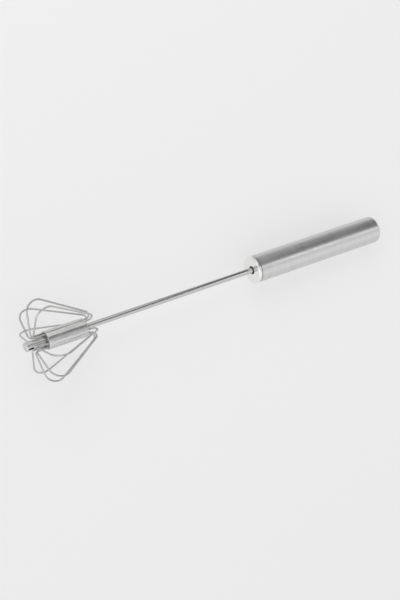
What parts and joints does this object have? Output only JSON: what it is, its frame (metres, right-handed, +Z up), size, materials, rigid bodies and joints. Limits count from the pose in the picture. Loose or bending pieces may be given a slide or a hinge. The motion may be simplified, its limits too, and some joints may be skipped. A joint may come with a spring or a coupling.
{
  "type": "push-down rotary whisk",
  "caption": "Slim hand whisk with a cage of wire loops on a steel shaft. Pressing the tubular handle down spins the cage, and a spring inside lifts the handle back.",
  "frame": {"origin": "centre of the bounding box on the surface that the whisk lies on", "axes": "+X from the tip to the handle's closed end, +Z up. The whisk lies on two wire loops and the rounded end of its handle, so its axis falls 2.9 degrees towards the handle."},
  "size_m": [0.3002, 0.0556, 0.048],
  "materials": {
    "handle_steel": "satin, brushed round the tube",
    "cap_steel": "bright satin",
    "bush_plastic": "black acetal, moulded",
    "inner_steel": "turned",
    "pin_steel": "ground",
    "strip_steel": "rolled bright",
    "spring_steel": "drawn, lightly oiled",
    "shaft_steel": "polished",
    "nut_plastic": "natural acetal, moulded",
    "sleeve_steel": "polished",
    "tip_steel": "polished",
    "wire_steel": "electropolished"
  },
  "bodies": {
    "handle": {"handle_tube": "handle_steel", "handle_cap": "cap_steel", "guide_bush": "bush_plastic", "strip_anchor": "inner_steel", "anchor_pin": "pin_steel", "drive_strip": "strip_steel", "return_spring": "spring_steel"},
    "spring_seat": {"thrust_washer": "inner_steel"},
    "whisk": {"shaft_tube": "shaft_steel", "drive_nut": "nut_plastic", "nut_pins": "pin_steel", "hub_core": "inner_steel", "hub_pin": "pin_steel", "hub_sleeve": "sleeve_steel", "tip_ferrule": "tip_steel", "whisk_wire_1": "wire_steel", "whisk_wire_2": "wire_steel", "whisk_wire_3": "wire_steel", "whisk_wire_4": "wire_steel", "whisk_wire_5": "wire_steel", "whisk_wire_6": "wire_steel", "whisk_wire_7": "wire_steel", "whisk_wire_8": "wire_steel"}
  },
  "joints": [
    {"name": "handle_press", "type": "slide", "parent": "handle", "child": "spring_seat", "axis": [0.9987, 0, -0.0505], "range_m": [0, 0.05], "stiffness_N_per_m": 160, "springref_m": -0.03, "deforming": ["return_spring"]},
    {"name": "whisk_spin", "type": "hinge", "parent": "spring_seat", "child": "whisk", "pos_m": [0.05979, 0.00058, 0.01442], "axis": [0.9987, 0, -0.0505], "range_deg": [0, 900]}
  ],
  "couplings": [
    {"joint": "whisk_spin", "follows": "handle_press", "rad_per_m": 314.16}
  ]
}
